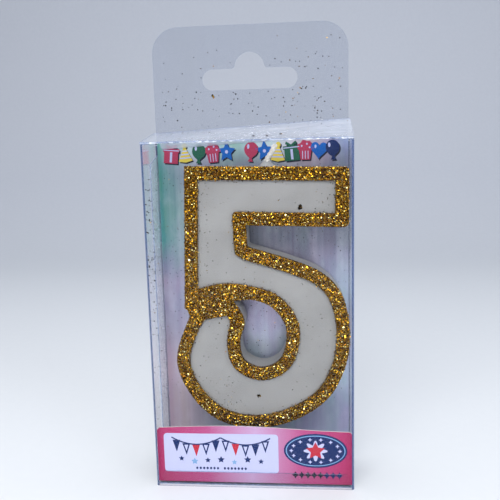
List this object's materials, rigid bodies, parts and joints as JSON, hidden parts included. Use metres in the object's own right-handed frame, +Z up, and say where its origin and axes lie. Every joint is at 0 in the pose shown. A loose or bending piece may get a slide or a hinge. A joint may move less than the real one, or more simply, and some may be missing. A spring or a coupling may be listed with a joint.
{
  "type": "number birthday candle",
  "caption": "Numeral five birthday candle in white wax with a gold glitter rim, boxed in a clear hang-tab pack with a printed card insert.",
  "frame": {"origin": "middle of the pack's base, on the surface that it stands on", "axes": "+Z up along the pack to its hang tab, +Y to the pack's flat back, front face towards -Y, +X to the viewer's right"},
  "size_m": [0.062, 0.02, 0.1428],
  "materials": {
    "wax": "satin translucent paraffin wax",
    "gold_glitter": "loose metallic gold glitter in clear binder",
    "cotton": "waxed braided cotton",
    "pick_plastic": "moulded white plastic",
    "holographic_card": "holographic foil laminated card",
    "pink_card": "gloss printed card",
    "clear_film": "clear gloss film"
  },
  "bodies": {
    "pack": {"card_back": "holographic_card", "card_floor": "pink_card", "card_lip": "pink_card", "front_panel": "clear_film", "left_panel": "clear_film", "right_panel": "clear_film", "back_panel": "clear_film", "hang_tab": "clear_film", "glue_seam": "clear_film"},
    "candle": {"wax_body": "wax", "glitter_rim": "gold_glitter", "wick": "cotton", "cake_pick": "pick_plastic"},
    "top_lid": {"top_lid": "clear_film"},
    "top_tuck": {"top_tuck": "clear_film"},
    "top_dust_left": {"top_dust_left": "clear_film"},
    "top_dust_right": {"top_dust_right": "clear_film"},
    "bottom_lid": {"bottom_lid": "clear_film"},
    "bottom_tuck": {"bottom_tuck": "clear_film"},
    "bottom_dust_left": {"bottom_dust_left": "clear_film"},
    "bottom_dust_right": {"bottom_dust_right": "clear_film"}
  },
  "joints": [
    {"name": "top_lid_crease", "type": "hinge", "parent": "pack", "child": "top_lid", "pos_m": [0, -0.01, 0.10705], "axis": [1, 0, 0], "range_deg": [-10, 170], "stiffness_Nm_per_rad": 0.002, "springref_deg": 1.2},
    {"name": "top_tuck_crease", "type": "hinge", "parent": "top_lid", "child": "top_tuck", "pos_m": [0, 0.00783, 0.11019], "axis": [1, 0, 0], "range_deg": [-2.5, 42.5]},
    {"name": "top_dust_left_crease", "type": "hinge", "parent": "pack", "child": "top_dust_left", "pos_m": [-0.031, 0, 0.1066], "axis": [0, -1, 0], "range_deg": [-5, 85]},
    {"name": "top_dust_right_crease", "type": "hinge", "parent": "pack", "child": "top_dust_right", "pos_m": [0.031, 0, 0.1066], "axis": [0, 1, 0], "range_deg": [-5, 85]},
    {"name": "bottom_lid_crease", "type": "hinge", "parent": "pack", "child": "bottom_lid", "pos_m": [0, 0.0097, 0], "axis": [1, 0, 0], "range_deg": [0, 180]},
    {"name": "bottom_tuck_crease", "type": "hinge", "parent": "bottom_lid", "child": "bottom_tuck", "pos_m": [0, -0.0088, 0.0003], "axis": [1, 0, 0], "range_deg": [0, 45]},
    {"name": "bottom_dust_left_crease", "type": "hinge", "parent": "pack", "child": "bottom_dust_left", "pos_m": [-0.03065, 0, 0.00035], "axis": [0, 1, 0], "range_deg": [0, 90]},
    {"name": "bottom_dust_right_crease", "type": "hinge", "parent": "pack", "child": "bottom_dust_right", "pos_m": [0.03065, 0, 0.00035], "axis": [0, -1, 0], "range_deg": [0, 90]},
    {"name": "candle_lift", "type": "slide", "parent": "pack", "child": "candle", "axis": [0, 0, 1], "range_m": [0, 0.0008]}
  ],
  "couplings": [
    {"joint": "top_tuck_crease", "follows": "top_lid_crease", "ratio": 0.25},
    {"joint": "top_dust_left_crease", "follows": "top_lid_crease", "ratio": 0.5},
    {"joint": "top_dust_right_crease", "follows": "top_lid_crease", "ratio": 0.5},
    {"joint": "bottom_tuck_crease", "follows": "bottom_lid_crease", "ratio": 0.25},
    {"joint": "bottom_dust_left_crease", "follows": "bottom_lid_crease", "ratio": 0.5},
    {"joint": "bottom_dust_right_crease", "follows": "bottom_lid_crease", "ratio": 0.5}
  ]
}
